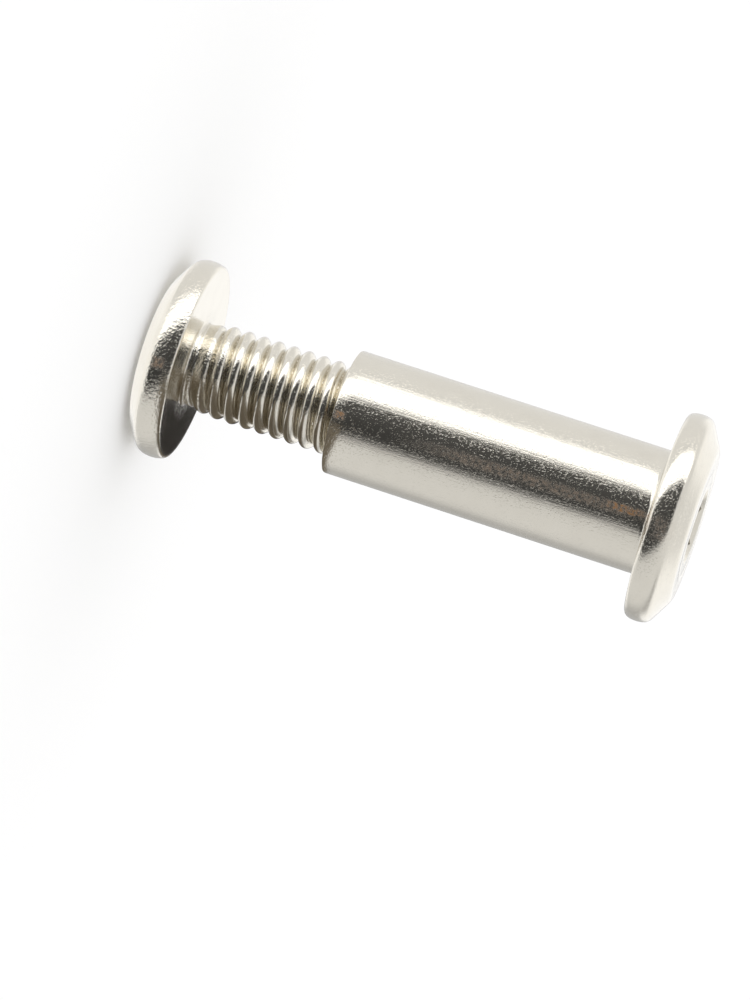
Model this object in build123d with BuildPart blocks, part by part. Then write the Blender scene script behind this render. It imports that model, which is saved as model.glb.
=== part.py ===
from build123d import *
import os
from math import radians, tan

# Binding barrel screw: a flanged screw turned part-way out of its flanged barrel nut,
# standing on the screw's head. Millimetres. Z is the common axis, and the origin is the
# centre of the screw head's outer face.

# Heads: the nut's is a little wider than the screw's, and the rest is alike
nut_head_diameter = 13.4
head_difference = 0.5            # the screw's head is this much narrower
screw_head_diameter = nut_head_diameter - head_difference
rim_crown = 0.15                 # how far the rim bulges past its two edges
face_diameter = 9.7              # flat outer face inside the bevel
bevel_height = 0.95
rim_height = 1.6

# Hex sockets: both heads have the same one
socket_width = 4.0               # across flats
socket_depth = 2.3
socket_lead_diameter = 4.9       # round chamfer at the hexagon's mouth
socket_floor_angle = 12          # slope of the conical floor, degrees

# Screw: the shank is the cylinder over an M6 thread's crests
thread_diameter = 5.9
shank_length = 16.0
tip_chamfer = 0.6
neck_diameter = 5.3              # plain neck under the head
neck_length = 1.0
runout_length = 1.6              # the last turns rise from the neck to full height
neck_fillet = 0.25

# Barrel nut: the bore is the cylinder through its thread's roots
barrel_diameter = 8.0
barrel_length = 20.6
barrel_fillet = 0.3
mouth_edge_chamfer = 0.12
mouth_lead_chamfer = 0.3
thread_clearance = 0.1           # screw's crests to nut's roots, on the radius
tapped_depth = 16.2
drill_diameter = 5.0
drill_runout = 0.8               # drilled past the last full turn
drill_point_angle = 118

# Screw head's underside to the nut's mouth, as the pair stands
open_length = 9.9

head_thickness = bevel_height + rim_height
mouth_z = head_thickness + open_length
nut_face_z = mouth_z + barrel_length + head_thickness


def section_plane(face):
    """Plane through the axis whose X runs outwards and whose Y runs into the head."""
    return Plane(origin=face.origin, x_dir=face.x_dir, z_dir=face.x_dir.cross(face.z_dir))


def add_head(face, diameter):
    """Flanged head under an outer face: flat, bevel, crowned rim and flat underside."""
    edge_radius = diameter / 2 - rim_crown
    with BuildSketch(section_plane(face)) as section:
        with BuildLine():
            Polyline(
                (edge_radius, head_thickness), (0, head_thickness), (0, 0),
                (face_diameter / 2, 0), (edge_radius, bevel_height),
            )
            ThreePointArc(
                (edge_radius, bevel_height),
                (diameter / 2, bevel_height + rim_height / 2),
                (edge_radius, head_thickness),
            )
        make_face()
    revolve(section.sketch, axis=Axis.Z)


def cut_socket(face):
    """Hexagon with a round lead-in and a shallow conical floor."""
    lead_radius = socket_lead_diameter / 2
    flat_radius = socket_width / 2
    floor_depth = socket_depth + flat_radius * tan(radians(socket_floor_angle))
    with BuildSketch(face) as hexagon:
        RegularPolygon(radius=flat_radius, side_count=6, major_radius=False)
    extrude(hexagon.sketch, amount=socket_depth, mode=Mode.SUBTRACT)
    with BuildSketch(section_plane(face)) as cones:
        with BuildLine():
            Polyline((0, 0), (lead_radius, 0), (0, lead_radius), close=True)
        make_face()
        with BuildLine():
            Polyline((0, socket_depth), (flat_radius, socket_depth), (0, floor_depth), close=True)
        make_face()
    revolve(cones.sketch, axis=Axis.Z, mode=Mode.SUBTRACT)


# Screw
screw_face = Plane.XY
tip_z = head_thickness + shank_length
shank_radius = thread_diameter / 2
neck_radius = neck_diameter / 2
neck_top = head_thickness + neck_length

with BuildPart() as screw:
    add_head(screw_face, screw_head_diameter)
    with BuildSketch(Plane.XZ):
        with BuildLine():
            Polyline(
                (0, head_thickness), (neck_radius, head_thickness), (neck_radius, neck_top),
                (shank_radius, neck_top + runout_length), (shank_radius, tip_z), (0, tip_z),
                close=True,
            )
        make_face()
    revolve(axis=Axis.Z)
    chamfer(screw.faces().sort_by(Axis.Z)[-1].edges(), tip_chamfer)
    underside_edges = screw.edges().filter_by_position(Axis.Z, head_thickness, head_thickness)
    fillet(underside_edges.sort_by(SortBy.LENGTH)[0], neck_fillet)
    cut_socket(screw_face)
screw.part.label = "screw"

# Barrel nut
nut_face = Plane(origin=(0, 0, nut_face_z), x_dir=(1, 0, 0), z_dir=(0, 0, -1))
bore_radius = thread_diameter / 2 + thread_clearance
drill_radius = drill_diameter / 2
drilled_z = mouth_z + tapped_depth + drill_runout
point_height = drill_radius / tan(radians(drill_point_angle / 2))

with BuildPart() as barrel_nut:
    with BuildSketch(Plane.XY.offset(mouth_z)):
        Circle(barrel_diameter / 2)
    extrude(amount=barrel_length)
    chamfer(barrel_nut.faces().sort_by(Axis.Z)[0].edges(), mouth_edge_chamfer)
    add_head(nut_face, nut_head_diameter)
    junction_z = mouth_z + barrel_length
    junction_edges = barrel_nut.edges().filter_by_position(Axis.Z, junction_z, junction_z)
    fillet(junction_edges.sort_by(SortBy.LENGTH)[0], barrel_fillet)
    with BuildSketch(Plane.XY.offset(mouth_z)):
        Circle(bore_radius)
    extrude(amount=tapped_depth, mode=Mode.SUBTRACT)
    mouth_edges = barrel_nut.edges().filter_by_position(Axis.Z, mouth_z, mouth_z)
    chamfer(mouth_edges.sort_by(SortBy.LENGTH)[0], mouth_lead_chamfer)
    with BuildSketch(Plane.XZ):
        with BuildLine():
            Polyline(
                (0, mouth_z), (drill_radius, mouth_z), (drill_radius, drilled_z),
                (0, drilled_z + point_height), close=True,
            )
        make_face()
    revolve(axis=Axis.Z, mode=Mode.SUBTRACT)
    cut_socket(nut_face)
barrel_nut.part.label = "barrel_nut"

os.makedirs("parts", exist_ok=True)
export_step(screw.part, "parts/screw.step")
export_step(barrel_nut.part, "parts/barrel_nut.step")
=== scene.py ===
import bmesh
import bpy
from math import ceil, cos, pi, radians, sin, tan
from mathutils import Matrix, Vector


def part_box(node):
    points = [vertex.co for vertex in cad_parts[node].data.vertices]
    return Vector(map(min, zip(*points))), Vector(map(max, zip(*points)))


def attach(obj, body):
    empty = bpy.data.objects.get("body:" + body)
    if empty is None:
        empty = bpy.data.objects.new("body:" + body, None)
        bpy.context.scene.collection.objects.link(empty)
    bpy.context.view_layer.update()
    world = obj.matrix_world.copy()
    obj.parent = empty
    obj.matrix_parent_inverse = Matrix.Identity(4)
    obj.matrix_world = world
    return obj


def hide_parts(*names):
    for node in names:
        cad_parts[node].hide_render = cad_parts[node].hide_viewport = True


# A flanged screw turned part-way out of its flanged barrel nut, both nickel plated.
# Sizes are in millimetres, while the frame is in metres. The boxes of the two CAD pieces
# give the places along the axis and the heads' radii. The other sizes repeat the CAD's,
# apart from the barrel's fillet, which is larger here. The rounded edges, the thread's
# turns and run-out, the faces' grooves and the plating are only here.

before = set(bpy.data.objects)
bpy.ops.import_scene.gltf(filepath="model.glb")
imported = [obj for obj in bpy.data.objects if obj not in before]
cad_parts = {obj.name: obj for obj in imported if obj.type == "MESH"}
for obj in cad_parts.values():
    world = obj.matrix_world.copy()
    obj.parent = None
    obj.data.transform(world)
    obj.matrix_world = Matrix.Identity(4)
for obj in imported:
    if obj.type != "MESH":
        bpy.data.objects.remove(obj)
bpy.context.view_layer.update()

MM = 0.001
screw_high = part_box("screw")[1]
nut_low, nut_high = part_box("barrel_nut")
screw_head_radius = screw_high[0] / MM
tip_z = screw_high[2] / MM
nut_head_radius = nut_high[0] / MM
mouth_z = nut_low[2] / MM
nut_face_z = nut_high[2] / MM

# Heads: flat face, bevel, crowned rim and flat underside
FACE_RADIUS = 4.85
BEVEL_HEIGHT = 0.95
RIM_HEIGHT = 1.6
RIM_CROWN = 0.15                  # how far the rim bulges past its two edges
HEAD_THICKNESS = BEVEL_HEIGHT + RIM_HEIGHT
CORNER_ROUNDING = 0.3             # along each side of the corners at both ends of the bevel
SCREW_EDGE_ROUNDING = 0.2         # the same between the rim and the underside
NUT_EDGE_ROUNDING = 0.38
GROOVE_START = 3.22               # faint ring turned into the face, by its radii
GROOVE_END = 3.41
GROOVE_WALL = 0.05
GROOVE_DEPTH = 0.012

# Hexagon sockets, with a round lead-in and a conical floor
SOCKET_FLAT = 2.0                 # from the axis to a flat
SOCKET_DEPTH = 2.3
SOCKET_LEAD = 2.45                # radius of the lead-in at the face
SOCKET_FLOOR_SLOPE = tan(radians(12))
SOCKET_FLOOR_DEPTH = SOCKET_DEPTH + SOCKET_FLAT * SOCKET_FLOOR_SLOPE

# Screw
SHANK_RADIUS = 2.95
TIP_CHAMFER = 0.6
NECK_RADIUS = 2.65
NECK_LENGTH = 1.0
NECK_FILLET = 0.25
GROWTH_REACH = 0.9                # the thread grows from this far before the neck's end to this far past

# Barrel nut
BARREL_RADIUS = 4.0
BARREL_FILLET = 0.42
MOUTH_ROUNDING = 0.12
MOUTH_LEAD = 0.3
TAPPED_DEPTH = 16.2
TAP_FADE = 1.2                    # the tapped thread fades out over this length
DRILL_RADIUS = 2.5
DRILL_RUNOUT = 0.8                # drilled past the last full turn
DRILL_SLOPE = 1 / tan(radians(59))
nut_underside_z = nut_face_z - HEAD_THICKNESS

# Thread form, the same on both pieces so that they mesh
PITCH = 1.0
THREAD_DEPTH = 0.56
THREAD_PHASE = 0.65               # in turns, with the crests where the photo has them
CREST_ROUNDNESS = 0.6             # 1 is a sine, less has wider crests and narrower grooves
THREAD_CLEARANCE = 0.1            # screw's crests to nut's roots, on the radius
BORE_RADIUS = SHANK_RADIUS + THREAD_CLEARANCE
MINOR_RADIUS = DRILL_RADIUS + 0.02     # over the nut's crests, just clear of the drilled hole

# How finely the pieces are divided. Rings lie close together beside an edge, so that the
# smooth shading keeps the faces next to it flat.
COLUMNS = 96
SCREW_ROWS_PER_TURN = 40
NUT_ROWS_PER_TURN = 26
BARREL_ROWS = 24
ROW_GAP = 0.05                    # between a thread's end row and the plain ring beside it
FLOOR_SHARES = (0.12, 0.3, 0.5, 0.7, 0.85, 0.95)
WALL_SHARES = (0.0, 0.02, 0.3, 0.6, 0.9, 0.98, 1.0)
LEAD_SHARES = (0.1, 0.5, 0.9)
FACE_RADII_INSIDE_GROOVE = (SOCKET_LEAD, 2.49, 2.9)
FACE_RADII_OUTSIDE_GROOVE = (3.9, 4.4)
BEVEL_SHARES = (0.25, 0.45, 0.65)
RIM_STEPS = 12
RIM_STEPS_IN_BEVEL_CORNER = 3
RIM_STEPS_IN_EDGE = 4
UNDERSIDE_INSETS = (0.45, 0.7, 1.2, 1.7)
SCREW_UNDERSIDE_RADII = (4.0, 3.3)
TIP_RADII = (2.2, 1.2, 0.4)
MOUTH_ROUNDING_MIDDLE = 0.3       # share of the rounding at which its middle ring lies
DRILL_POINT_SHARES = (0.98, 0.6, 0.25)
SHARP_ANGLE = radians(28)


# Shapes: rings of points (radius from the axis, height), joined into one closed surface

def smooth_step(low, high, value):
    t = min(max((value - low) / (high - low), 0.0), 1.0)
    return t * t * (3 - 2 * t)


def thread_rise(z, angle):
    """How far a right-hand thread's surface stands above its root, from 0 to 1."""
    phase = (z / PITCH - angle / (2 * pi) + THREAD_PHASE) % 1.0
    from_crest = abs(phase - 0.5) * 2
    return max(cos(pi / 2 * from_crest), 0.0) ** CREST_ROUNDNESS


def hexagon_radius(angle):
    return SOCKET_FLAT / cos((angle % (pi / 3)) - pi / 6)


def arc(centre, radius, start, end, steps):
    """Points along an arc, whose angles are in degrees."""
    points = []
    for step in range(steps + 1):
        a = radians(start + (end - start) * step / steps)
        points.append((centre[0] + radius * cos(a), centre[1] + radius * sin(a)))
    return points


def rounded_corner(before, corner, after, size, steps=4):
    """Bend that starts and ends at a distance of size from a corner, along its two sides."""
    def along(a, b):
        length = ((b[0] - a[0]) ** 2 + (b[1] - a[1]) ** 2) ** 0.5
        return (a[0] + (b[0] - a[0]) * size / length, a[1] + (b[1] - a[1]) * size / length)

    first, last = along(corner, before), along(corner, after)
    points = []
    for step in range(steps + 1):
        t = step / steps
        weights = ((1 - t) ** 2, 2 * t * (1 - t), t * t)
        points.append(tuple(weights[0] * p + weights[1] * q + weights[2] * r
                            for p, q, r in zip(first, corner, last)))
    return points


def crowned_rim(radius):
    """Points (radius, depth under the face) from the bevel's edge to the underside's."""
    half = RIM_HEIGHT / 2
    bulge = (half * half + RIM_CROWN * RIM_CROWN) / (2 * RIM_CROWN)
    points = []
    for step in range(RIM_STEPS + 1):
        d = -half + RIM_HEIGHT * step / RIM_STEPS
        points.append((radius - bulge + (bulge * bulge - d * d) ** 0.5, BEVEL_HEIGHT + half + d))
    return points


def face_profile():
    """Points (radius, depth) over the flat face and its groove."""
    points = [(r, 0) for r in FACE_RADII_INSIDE_GROOVE]
    points.append((GROOVE_START, 0))
    points.append((GROOVE_START + GROOVE_WALL, GROOVE_DEPTH))
    points.append((GROOVE_END - GROOVE_WALL, GROOVE_DEPTH))
    points.append((GROOVE_END, 0))
    return points + [(r, 0) for r in FACE_RADII_OUTSIDE_GROOVE]


def head_profile(radius, edge_rounding):
    """Points (radius, depth under the face) from the socket's mouth out and round to the underside."""
    edge_radius = radius - RIM_CROWN
    face_edge = (FACE_RADIUS, 0)
    rim = crowned_rim(radius)
    below_corner = rim[RIM_STEPS_IN_BEVEL_CORNER]
    above_edge = rim[-1 - RIM_STEPS_IN_EDGE]
    points = face_profile()
    points += rounded_corner((0, 0), face_edge, (edge_radius, BEVEL_HEIGHT), CORNER_ROUNDING)
    for share in BEVEL_SHARES:
        points.append((FACE_RADIUS + (edge_radius - FACE_RADIUS) * share, BEVEL_HEIGHT * share))
    points += rounded_corner(face_edge, rim[0], below_corner, CORNER_ROUNDING)
    points += rim[RIM_STEPS_IN_BEVEL_CORNER:-RIM_STEPS_IN_EDGE]
    points += rounded_corner(above_edge, rim[-1], (0, HEAD_THICKNESS), edge_rounding)
    points += [(edge_radius - inset, HEAD_THICKNESS) for inset in UNDERSIDE_INSETS]
    return points


def shaped_ring(shape):
    """Ring whose points a function of the angle gives."""
    return [shape(2 * pi * column / COLUMNS) for column in range(COLUMNS)]


def plain_ring(r, z):
    return [(r, z)] * COLUMNS


def head_rings(radius, face_z, inward, edge_rounding):
    """Rings of a head from its socket's floor out over the rim to its underside.

    inward is 1 where the head lies above its face, and -1 where it lies below.
    """
    def floor_ring(share):
        depth = SOCKET_DEPTH + SOCKET_FLAT * (1 - share) * SOCKET_FLOOR_SLOPE
        return shaped_ring(lambda a: (share * hexagon_radius(a), face_z + inward * depth))

    def wall_ring(share):
        return shaped_ring(lambda a: (
            hexagon_radius(a),
            face_z + inward * (SOCKET_DEPTH + (SOCKET_LEAD - hexagon_radius(a) - SOCKET_DEPTH) * share),
        ))

    def lead_ring(share):
        return shaped_ring(lambda a: (
            hexagon_radius(a) + (SOCKET_LEAD - hexagon_radius(a)) * share,
            face_z + inward * (SOCKET_LEAD - hexagon_radius(a)) * (1 - share),
        ))

    rings = [floor_ring(share) for share in FLOOR_SHARES]
    rings += [wall_ring(share) for share in WALL_SHARES]
    rings += [lead_ring(share) for share in LEAD_SHARES]
    for r, depth in head_profile(radius, edge_rounding):
        rings.append(plain_ring(r, face_z + inward * depth))
    return rings


def screw_surface(z, angle):
    """Radius of the neck and of the thread, which grows out of it and ends in a chamfer."""
    neck_top = HEAD_THICKNESS + NECK_LENGTH
    growth = smooth_step(neck_top - GROWTH_REACH, neck_top + GROWTH_REACH, z)
    root = NECK_RADIUS + (SHANK_RADIUS - THREAD_DEPTH - NECK_RADIUS) * growth
    crest = NECK_RADIUS + (SHANK_RADIUS - NECK_RADIUS) * growth
    r = root + (crest - root) * thread_rise(z, angle)
    return min(r, SHANK_RADIUS - TIP_CHAMFER + (tip_z - z))


def bore_surface(z, angle):
    """Radius of the nut's lead-in and of its thread, which fades into the drilled hole."""
    depth = z - mouth_z
    fade = 1 - smooth_step(TAPPED_DEPTH - TAP_FADE, TAPPED_DEPTH, depth)
    tapped = SHANK_RADIUS - THREAD_DEPTH * (1 - thread_rise(z, angle)) + THREAD_CLEARANCE
    r = MINOR_RADIUS + (max(tapped, MINOR_RADIUS) - MINOR_RADIUS) * fade
    return max(r, BORE_RADIUS + MOUTH_LEAD - depth)


def surface_rings(surface, start, end, rows_per_turn):
    rows = ceil((end - start) / PITCH * rows_per_turn)
    heights = [start + (end - start) * row / rows for row in range(rows + 1)]
    return [shaped_ring(lambda a, z=z: (surface(z, a), z)) for z in heights]


def add_object(name, vertices, faces):
    """Object in the scene with a new mesh, from points in millimetres."""
    mesh = bpy.data.meshes.new(name)
    mesh.from_pydata([[c * MM for c in vertex] for vertex in vertices], [], faces)
    made = bpy.data.objects.new(name, mesh)
    bpy.context.scene.collection.objects.link(made)
    return made


def make_normals_outward(mesh):
    shape = bmesh.new()
    shape.from_mesh(mesh)
    bmesh.ops.recalc_face_normals(shape, faces=shape.faces)
    shape.to_mesh(mesh)
    shape.free()


def lathe(name, start, rings, end):
    """Closed piece from a point on the axis, through rings, to another point on the axis."""
    vertices = [(0, 0, start)]
    for ring in rings:
        for column, (r, z) in enumerate(ring):
            angle = 2 * pi * column / COLUMNS
            vertices.append((r * cos(angle), r * sin(angle), z))
    vertices.append((0, 0, end))
    first_of = [1 + row * COLUMNS for row in range(len(rings))]
    faces = []
    for column in range(COLUMNS):
        following = (column + 1) % COLUMNS
        faces.append((0, first_of[0] + following, first_of[0] + column))
        for a, b in zip(first_of, first_of[1:]):
            faces.append((a + column, a + following, b + following, b + column))
        faces.append((first_of[-1] + column, first_of[-1] + following, len(vertices) - 1))
    piece = add_object(name, vertices, faces)
    make_normals_outward(piece.data)
    piece.data.shade_smooth()
    piece.data.set_sharp_from_angle(angle=SHARP_ANGLE)
    return piece


def build_screw():
    rings = head_rings(screw_head_radius, 0.0, 1, SCREW_EDGE_ROUNDING)
    rings += [plain_ring(r, HEAD_THICKNESS) for r in SCREW_UNDERSIDE_RADII]
    fillet_centre = (NECK_RADIUS + NECK_FILLET, HEAD_THICKNESS + NECK_FILLET)
    rings += [plain_ring(r, z) for r, z in arc(fillet_centre, NECK_FILLET, 270, 180, 5)]
    thread_start = HEAD_THICKNESS + NECK_FILLET + ROW_GAP
    rings += surface_rings(screw_surface, thread_start, tip_z, SCREW_ROWS_PER_TURN)
    rings += [plain_ring(r, tip_z) for r in TIP_RADII]
    return lathe("screw_body_turned", SOCKET_FLOOR_DEPTH, rings, tip_z)


def build_nut():
    rings = head_rings(nut_head_radius, nut_face_z, -1, NUT_EDGE_ROUNDING)
    barrel_top = nut_underside_z - BARREL_FILLET
    barrel_low = mouth_z + MOUTH_ROUNDING
    fillet_centre = (BARREL_RADIUS + BARREL_FILLET, barrel_top)
    rings += [plain_ring(r, z) for r, z in arc(fillet_centre, BARREL_FILLET, 90, 180, 6)]
    for row in range(1, BARREL_ROWS + 1):
        rings.append(plain_ring(BARREL_RADIUS, barrel_top + (barrel_low - barrel_top) * row / BARREL_ROWS))
    middle = MOUTH_ROUNDING * MOUTH_ROUNDING_MIDDLE
    rings.append(plain_ring(BARREL_RADIUS - middle, mouth_z + middle))
    rings.append(plain_ring(BARREL_RADIUS - MOUTH_ROUNDING, mouth_z))
    rings.append(plain_ring(BORE_RADIUS + MOUTH_LEAD, mouth_z))
    tapped_z = mouth_z + TAPPED_DEPTH
    rings += surface_rings(bore_surface, mouth_z, tapped_z, NUT_ROWS_PER_TURN)
    drilled_z = tapped_z + DRILL_RUNOUT
    rings.append(plain_ring(DRILL_RADIUS, tapped_z + ROW_GAP))
    rings.append(plain_ring(DRILL_RADIUS, drilled_z))
    for share in DRILL_POINT_SHARES:
        rings.append(plain_ring(DRILL_RADIUS * share, drilled_z + DRILL_RADIUS * (1 - share) * DRILL_SLOPE))
    drill_point_z = drilled_z + DRILL_RADIUS * DRILL_SLOPE
    return lathe("barrel_nut_turned", nut_face_z - SOCKET_FLOOR_DEPTH, rings, drill_point_z)


# Materials

class Nodes:
    """Shorthand for making the nodes of a material or a world."""

    def __init__(self, tree):
        self.tree = tree
        tree.nodes.clear()

    def add(self, kind, inputs=None, **settings):
        node = self.tree.nodes.new(kind)
        for key, value in settings.items():
            setattr(node, key, value)
        for key, value in (inputs or {}).items():
            if isinstance(value, bpy.types.NodeSocket):
                self.tree.links.new(value, node.inputs[key])
            else:
                node.inputs[key].default_value = value
        return node

    def math(self, operation, *values):
        return self.add("ShaderNodeMath", dict(enumerate(values)), operation=operation).outputs[0]

    def total(self, first, *others):
        for other in others:
            first = self.math("ADD", first, other)
        return first

    def product(self, first, *others):
        for other in others:
            first = self.math("MULTIPLY", first, other)
        return first

    def minus(self, a, b):
        return self.math("SUBTRACT", a, b)

    def between(self, value, low, high):
        """0 at low and 1 at high, smooth in between, where low may be the greater."""
        return self.add("ShaderNodeMapRange", {"Value": value, "From Min": low, "From Max": high},
                        interpolation_type="SMOOTHSTEP").outputs["Result"]

    def window(self, value, low, high, soft):
        """1 from low to high and 0 outside, fading from soft within each end to soft beyond it."""
        return self.product(self.between(value, low - soft, low + soft),
                            self.minus(1.0, self.between(value, high - soft, high + soft)))

    def noise(self, vector, scale, detail, roughness):
        return self.add("ShaderNodeTexNoise", {"Vector": vector, "Scale": scale, "Detail": detail,
                                               "Roughness": roughness}).outputs["Fac"]

    def colour_mix(self, factor, a, b):
        return self.add("ShaderNodeMix", {0: factor, 6: a, 7: b}, data_type="RGBA").outputs[2]

    def split(self, vector):
        return self.add("ShaderNodeSeparateXYZ", {0: vector}).outputs

    def degrees_round(self, x, y):
        """Degrees round the vertical axis, from 0 on the side that the photo shows."""
        return self.product(self.math("ARCTAN2", x, self.product(y, -1.0)), 180 / pi)


def new_material(name):
    material = bpy.data.materials.new(name)
    material.use_nodes = True
    return material, Nodes(material.node_tree)


NICKEL = (0.80, 0.765, 0.685, 1)
NICKEL_DARK = (0.70, 0.66, 0.58, 1)
DARK_SHARE = 0.5                  # of the dark nickel, where the clouds are densest
# Copper brown painted over the plating, and the metal lost under it: partly stains, partly a painted brown
# reflection
COPPER_AND_REFLECTED_BROWN = (0.46, 0.21, 0.06, 1)
METAL_LOST_UNDER_BROWN = 0.5

# Noise textures, as scale in features a millimetre, detail and roughness
GRAIN = (10.0, 3.0, 0.7)
PITS = (8.0, 2.0, 0.6)
RIPPLES = (5.5, 2.0, 0.5)
SAND = (5.0, 2.0, 0.5)
DRAWN_LINES = (6.0, 5.0, 0.7)
CLOUDS = (0.7, 2.0, 0.5)
# The next noise breaks the copper-brown marks (partly stains, partly painted brown reflection) into patches
BROWN_PATCHES = (4.5, 3.0, 0.65)
SPECKLES = (16.0, 2.0, 0.5)

# Relief of the plating, with depths in millimetres
GRAIN_DEPTH = 0.0055
PIT_DEPTH = 0.006
PIT_DEPTH_LOST_ON_FLATS = 0.0052
PIT_LEVELS = (0.55, 0.70)         # of its noise, where a pit starts and where it is deepest
FLAT_LEVELS = (0.93, 0.99)        # of the normal's part along the axis, where a face counts as flat
RIM_RADII = (5.6, 6.2)            # where the rim's ripples start and where they are full
RIM_FADE = 0.05
NECK_RADII = (3.0, 4.2)           # where the neck's sandy coat starts to fade and where it is gone
NECK_FADE = 0.4
DRAWN_STRETCH = 0.04              # the drawn lines' noise runs this much slower along the barrel
DRAWN_FADE = 0.1
SCREW_RIPPLE_DEPTH = 0.032
NUT_RIPPLE_DEPTH = 0.006
SAND_DEPTH = 0.04
SAND_LENGTH = 2.2
DRAWN_DEPTH = 0.012

ROUGHNESS = 0.05
SPECKLE_ROUGHNESS = 0.06
CLOUD_ROUGHNESS = 0.03

# Copper-brown marks on the side facing the camera: partly stains in the plating, partly a painted
# brown reflection. Each as degrees round, half its width in degrees, lowest and highest
# place in millimetres, and strength
PATCH_LEVELS = (0.30, 0.66)       # of its noise, where a patch starts and where it is full
SCREW_STAINS_AND_BROWN_REFLECTIONS = (
    (6, 3, BEVEL_HEIGHT + 0.2, HEAD_THICKNESS - 0.6, 0.6),
)
NUT_STAINS_AND_BROWN_REFLECTIONS = (
    (5, 3.5, nut_underside_z - 2.8, nut_underside_z - 0.4, 1.0),
    (6.5, 5, nut_underside_z - 14.0, nut_underside_z - 0.5, 0.42),
    (4, 3.5, mouth_z + 0.15, mouth_z + 0.8, 1.0),
    (7, 6, nut_underside_z + 0.5, nut_underside_z + 1.3, 0.35),
)


class Place:
    """Where the shaded point lies on its piece, in millimetres and in degrees."""

    def __init__(self, n):
        coordinates = n.add("ShaderNodeTexCoord").outputs
        self.point = n.add("ShaderNodeVectorMath", {0: coordinates["Object"], 3: 1 / MM},
                           operation="SCALE").outputs[0]
        self.x, self.y, self.z = n.split(self.point)
        self.radius = n.math("SQRT", n.total(n.product(self.x, self.x), n.product(self.y, self.y)))
        self.degrees = n.degrees_round(self.x, self.y)
        self.flat = n.between(n.math("ABSOLUTE", n.split(coordinates["Normal"])[2]), *FLAT_LEVELS)


def plating_grain(n, place):
    """Fine grain with pits, which are shallow on flat faces."""
    pits = n.between(n.noise(place.point, *PITS), *PIT_LEVELS)
    pit_depth = n.minus(PIT_DEPTH, n.product(place.flat, PIT_DEPTH_LOST_ON_FLATS))
    return n.minus(n.product(n.noise(place.point, *GRAIN), GRAIN_DEPTH), n.product(pits, pit_depth))


def rim_ripples(n, place, low, high, depth):
    rim = n.product(n.window(place.z, low, high, RIM_FADE), n.between(place.radius, *RIM_RADII))
    return n.product(n.noise(place.point, *RIPPLES), rim, depth)


def neck_sand(n, place, low, high, depth):
    neck = n.product(n.window(place.z, low, high, NECK_FADE),
                     n.minus(1.0, n.between(place.radius, *NECK_RADII)))
    return n.product(n.noise(place.point, *SAND), neck, depth)


def drawn_lines(n, place, low, high, depth):
    slow_z = n.product(place.z, DRAWN_STRETCH)
    stretched = n.add("ShaderNodeCombineXYZ", {0: place.x, 1: place.y, 2: slow_z}).outputs[0]
    return n.product(n.window(place.z, low, high, DRAWN_FADE), n.noise(stretched, *DRAWN_LINES), depth)


def stain_and_reflection_cover(n, place, stains_and_reflections):
    """How much of the plating the copper-brown marks hide, from 0 to 1: partly stains, partly a painted
    brown reflection.
    """
    patches = n.between(n.noise(place.point, *BROWN_PATCHES), *PATCH_LEVELS)
    cover = 0.0
    for degrees, half_width, low, high, strength in stains_and_reflections:
        here = n.product(n.window(place.degrees, degrees - half_width, degrees + half_width, half_width / 2),
                         n.window(place.z, low, high, (high - low) / 4))
        cover = n.math("MAXIMUM", cover, n.product(here, patches, strength))
    return cover


def nickel(name, reliefs, stains_and_reflections):
    """Bright nickel plating on steel, where a relief is (its function, low, high, depth)."""
    material, n = new_material(name)
    place = Place(n)
    height = plating_grain(n, place)
    for relief, low, high, depth in reliefs:
        height = n.total(height, relief(n, place, low, high, depth))
    bump = n.add("ShaderNodeBump", {"Height": height, "Strength": 1.0, "Distance": MM}).outputs[0]

    clouds = n.noise(place.point, *CLOUDS)
    # Copper-brown marks painted into the colour: partly stains, partly a painted brown reflection on the
    # side facing the camera
    cover = stain_and_reflection_cover(n, place, stains_and_reflections)
    plating = n.colour_mix(n.product(clouds, DARK_SHARE), NICKEL, NICKEL_DARK)
    uneven = n.total(n.product(n.noise(place.point, *SPECKLES), SPECKLE_ROUGHNESS),
                     n.product(clouds, CLOUD_ROUGHNESS))
    shader = n.add("ShaderNodeBsdfPrincipled", {
        "Base Color": n.colour_mix(cover, plating, COPPER_AND_REFLECTED_BROWN),
        "Metallic": n.minus(1.0, n.product(cover, METAL_LOST_UNDER_BROWN)),
        "Roughness": n.total(ROUGHNESS, uneven),
        "Normal": bump,
    })
    n.add("ShaderNodeOutputMaterial", {0: shader.outputs[0]})
    return material


# Studio: even white for what is seen and for the floor, and, for reflections alone, bands of
# light round the object's axis, a white backdrop behind it, light from above and below, and
# dark cards beside it

# Brightness of the bands, by degrees round the axis from the camera's side
STUDIO_BANDS = (
    (-180, 0.86), (-84, 0.90), (-80, 0.86), (-74, 0.60), (-70, 2.0), (-34, 2.0), (-31, 0.50), (-28, 0.10),
    (0, 0.07), (14, 0.05), (26, 0.05), (40, 0.08), (44, 0.50), (52, 0.74), (80, 0.80), (115, 0.80),
    (135, 0.50), (180, 0.55),
)
BRIGHTEST_BAND = 2.0
LEAN = 25.0                       # degrees that the bands lean for each unit of a direction's height
LEAN_DROP = 0.14                  # they stand as listed this far below the horizon
SEEN_WHITE = 1.03

# Heights of a direction, from -1 straight down to 1 straight up, over which each light sets in
ABOVE_HEIGHTS = (0.72, 0.9)
ABOVE_LIGHT = 0.82
BELOW_HEIGHTS = (-0.80, -0.90)
BELOW_LIGHT = 1.15
BACKDROP_UP = (-0.02, 0.10)
BACKDROP_DOWN = (-0.3, -0.5)
BACKDROP_DEGREES = (125, 150)
BACKDROP_LIGHT = 1.15

CARD_BROWN = (0.19, 0.165, 0.13, 1)
CARD_BLACK = (0.025, 0.022, 0.02, 1)
CARD_EDGE = 0.7                   # half of the soft edge's width
FLOOR_WHITE = (0.99, 0.99, 0.99, 1)
FLOOR_HALF = 20000


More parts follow.
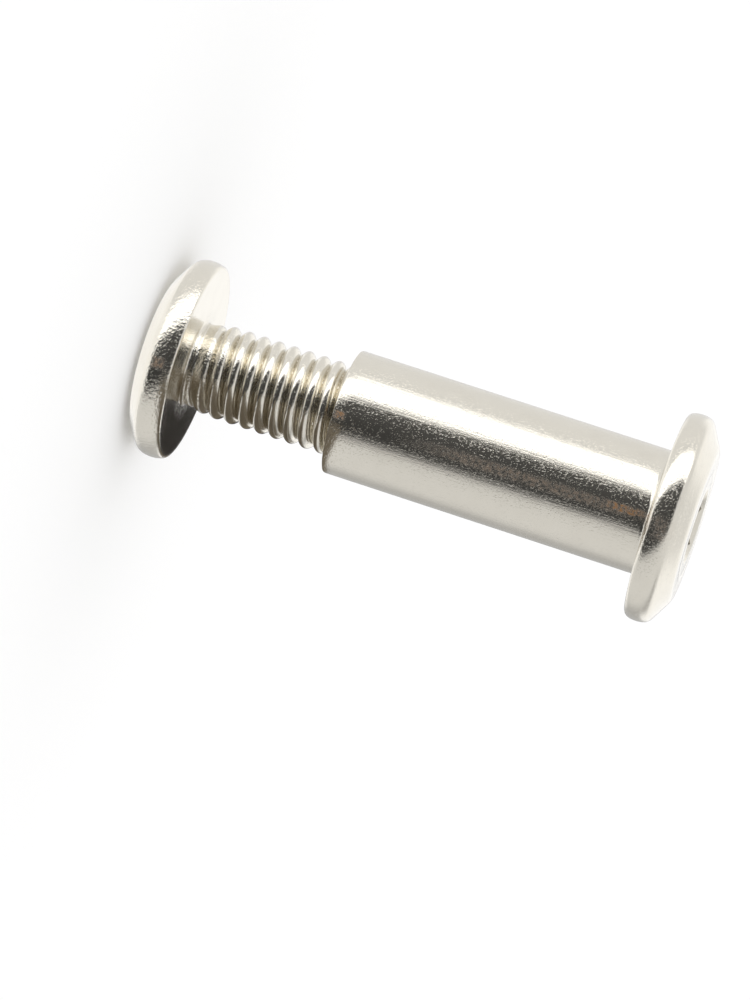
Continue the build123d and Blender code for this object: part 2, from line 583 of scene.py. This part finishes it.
def band_light(n, turn, z):
    """Brightness of the leaning bands in a direction, from a ramp whose colours end at 1."""
    leaning = n.total(turn, n.product(n.total(z, LEAN_DROP), LEAN))
    ramp = n.add("ShaderNodeValToRGB", {0: n.total(n.math("DIVIDE", leaning, 360.0), 0.5)})
    elements = ramp.color_ramp.elements
    while len(elements) < len(STUDIO_BANDS):
        elements.new(0.5)
    for element, (degrees, brightness) in zip(elements, STUDIO_BANDS):
        grey = brightness / BRIGHTEST_BAND
        element.position = (degrees + 180) / 360
        element.color = (grey, grey, grey, 1)
    return n.product(ramp.outputs[0], BRIGHTEST_BAND)


def studio_world():
    world = bpy.data.worlds.new("studio")
    bpy.context.scene.world = world
    world.use_nodes = True
    n = Nodes(world.node_tree)
    x, y, z = n.split(n.add("ShaderNodeTexCoord").outputs["Generated"])
    turn = n.degrees_round(x, y)
    backdrop = n.product(n.math("MAXIMUM", n.between(z, *BACKDROP_UP), n.between(z, *BACKDROP_DOWN)),
                         n.between(n.math("ABSOLUTE", turn), *BACKDROP_DEGREES))
    around = n.total(n.product(band_light(n, turn, z), n.minus(1.0, backdrop)),
                     n.product(BACKDROP_LIGHT, backdrop))
    above = n.between(z, *ABOVE_HEIGHTS)
    below = n.between(z, *BELOW_HEIGHTS)
    level = n.minus(1.0, n.total(above, below))
    reflected = n.total(n.product(around, level),
                        n.total(n.product(above, ABOVE_LIGHT), n.product(below, BELOW_LIGHT)))
    path = n.add("ShaderNodeLightPath").outputs
    glossy = n.math("MAXIMUM", path["Is Glossy Ray"], path["Is Transmission Ray"])
    strength = n.add("ShaderNodeMix", {0: glossy, 2: SEEN_WHITE, 3: reflected}).outputs[0]
    background = n.add("ShaderNodeBackground", {"Color": (1, 1, 1, 1), "Strength": strength})
    n.add("ShaderNodeOutputWorld", {0: background.outputs[0]})


def studio_card(name, low, high, colour):
    """Flat card with soft edges that only reflections see, from its low to its high corner."""
    u, v = [axis for axis in range(3) if high[axis] > low[axis]]
    corners = []
    for u_end, v_end in ((low, low), (high, low), (high, high), (low, high)):
        corner = list(low)
        corner[u] = u_end[u]
        corner[v] = v_end[v]
        corners.append(corner)
    card = add_object(name, corners, [(0, 1, 2, 3)])
    material, n = new_material(name)
    position = n.split(n.add("ShaderNodeTexCoord").outputs["Object"])
    covered = 1.0
    for axis in (u, v):
        millimetres = n.math("DIVIDE", position[axis], MM)
        inside = n.window(millimetres, low[axis] + CARD_EDGE, high[axis] - CARD_EDGE, CARD_EDGE)
        covered = n.product(covered, inside)
    matt = n.add("ShaderNodeBsdfDiffuse", {"Color": colour}).outputs[0]
    clear = n.add("ShaderNodeBsdfTransparent").outputs[0]
    mixed = n.add("ShaderNodeMixShader", {0: covered, 1: clear, 2: matt}).outputs[0]
    n.add("ShaderNodeOutputMaterial", {0: mixed})
    card.data.materials.append(material)
    card.visible_camera = False
    card.visible_diffuse = False
    card.visible_shadow = False


def studio_cards():
    """Dark cards round the thread, where the photo's other pair darkens this one."""
    beside_x = nut_head_radius + 0.3
    behind_y = 14
    over_z = mouth_z - 1.45
    low_z = HEAD_THICKNESS + 0.05
    studio_card("card_below", (beside_x, -16, low_z), (beside_x, 16, mouth_z - 1.25), CARD_BROWN)
    studio_card("card_over", (3.6, -11, over_z), (9, 7, over_z), CARD_BROWN)
    studio_card("card_behind", (1.6, behind_y, low_z), (10, behind_y, mouth_z - 3.45), CARD_BLACK)


def studio_floor():
    corners = [(-FLOOR_HALF, -FLOOR_HALF, 0), (FLOOR_HALF, -FLOOR_HALF, 0),
               (FLOOR_HALF, FLOOR_HALF, 0), (-FLOOR_HALF, FLOOR_HALF, 0)]
    floor = add_object("floor", corners, [(0, 1, 2, 3)])
    material, n = new_material("floor_white")
    white = n.add("ShaderNodeBsdfDiffuse", {"Color": FLOOR_WHITE})
    n.add("ShaderNodeOutputMaterial", {0: white.outputs[0]})
    floor.data.materials.append(material)
    floor.visible_glossy = False


# Camera: before the pair and a little above its top, tilted down, and rolled so that the axis
# runs from the left down to the right. Its angles are in degrees.

CAMERA_DISTANCE = 247.03
CAMERA_HEIGHT = 51.31
CAMERA_YAW = 1.075
CAMERA_PITCH = -8.113
CAMERA_ROLL = 108.204
FOCAL_LENGTH = 4.0027             # in picture heights
SENSOR_HEIGHT = 24
CLIP_START = 5


def add_camera():
    data = bpy.data.cameras.new("camera")
    data.sensor_fit = "VERTICAL"
    data.sensor_height = SENSOR_HEIGHT
    data.lens = FOCAL_LENGTH * SENSOR_HEIGHT
    data.clip_start = CLIP_START * MM
    camera = bpy.data.objects.new("camera", data)
    bpy.context.scene.collection.objects.link(camera)
    position = Matrix.Translation((0, -CAMERA_DISTANCE * MM, CAMERA_HEIGHT * MM))
    yaw = Matrix.Rotation(radians(-CAMERA_YAW), 4, "Z")
    pitch = Matrix.Rotation(radians(90 + CAMERA_PITCH), 4, "X")
    roll = Matrix.Rotation(radians(CAMERA_ROLL), 4, "Z")
    camera.matrix_world = position @ yaw @ pitch @ roll
    bpy.context.scene.camera = camera


screw = build_screw()
screw.data.materials.append(nickel(
    "nickel_screw",
    reliefs=(
        (rim_ripples, BEVEL_HEIGHT, HEAD_THICKNESS, SCREW_RIPPLE_DEPTH),
        (neck_sand, HEAD_THICKNESS, HEAD_THICKNESS + SAND_LENGTH, SAND_DEPTH),
    ),
    stains_and_reflections=SCREW_STAINS_AND_BROWN_REFLECTIONS,
))
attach(screw, "screw_body")
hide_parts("screw")

nut = build_nut()
nut.data.materials.append(nickel(
    "nickel_nut",
    reliefs=(
        (rim_ripples, nut_underside_z, nut_face_z - BEVEL_HEIGHT, NUT_RIPPLE_DEPTH),
        (drawn_lines, mouth_z, nut_underside_z - BARREL_FILLET, DRAWN_DEPTH),
    ),
    stains_and_reflections=NUT_STAINS_AND_BROWN_REFLECTIONS,
))
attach(nut, "nut_body")
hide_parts("barrel_nut")

studio_world()
studio_floor()
studio_cards()
add_camera()
bpy.context.scene.view_settings.view_transform = "Standard"
